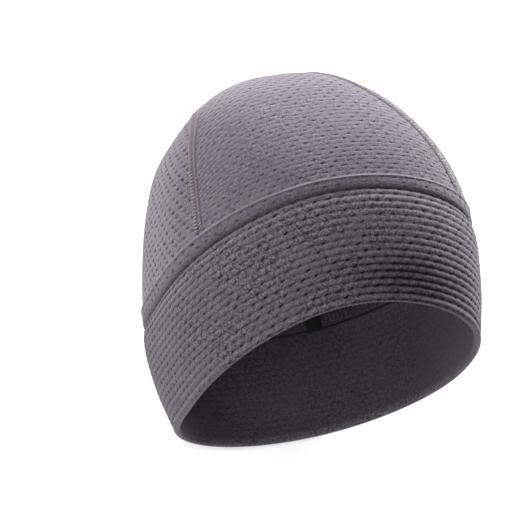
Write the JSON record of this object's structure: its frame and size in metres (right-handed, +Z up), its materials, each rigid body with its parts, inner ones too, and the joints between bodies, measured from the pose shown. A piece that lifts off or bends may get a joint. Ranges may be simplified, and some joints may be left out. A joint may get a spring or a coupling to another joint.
{
  "type": "knitted beanie",
  "caption": "Close-fitting knitted beanie: a wide centre panel and side panels joined by flat seams, on a deep doubled band round the open head hole.",
  "frame": {"origin": "centre of the bottom of the box of the cap as it lies on its back", "axes": "+Z up, out of the front of the cap; -Y out of the head opening and +Y towards the crown; +X to the right of someone who faces the front with the crown up"},
  "size_m": [0.158, 0.1614, 0.1884],
  "materials": {
    "crown_knit": "mauve heathered merino, fine mesh knit with rows of small pits",
    "band_knit": "mauve heathered merino, doubled, rows of small raised cells",
    "inner_knit": "darker mauve merino, smooth inner face",
    "seam_thread": "flatlock thread, dull grey-brown mauve",
    "label_tape": "blank woven tape, near black"
  },
  "bodies": {
    "root": {"crown_centre_panel": "crown_knit", "crown_side_left": "crown_knit", "crown_side_right": "crown_knit", "side_seam_left": "seam_thread", "side_seam_right": "seam_thread", "band": "band_knit", "seam_allowance": "inner_knit", "inner_label": "label_tape"}
  },
  "joints": []
}
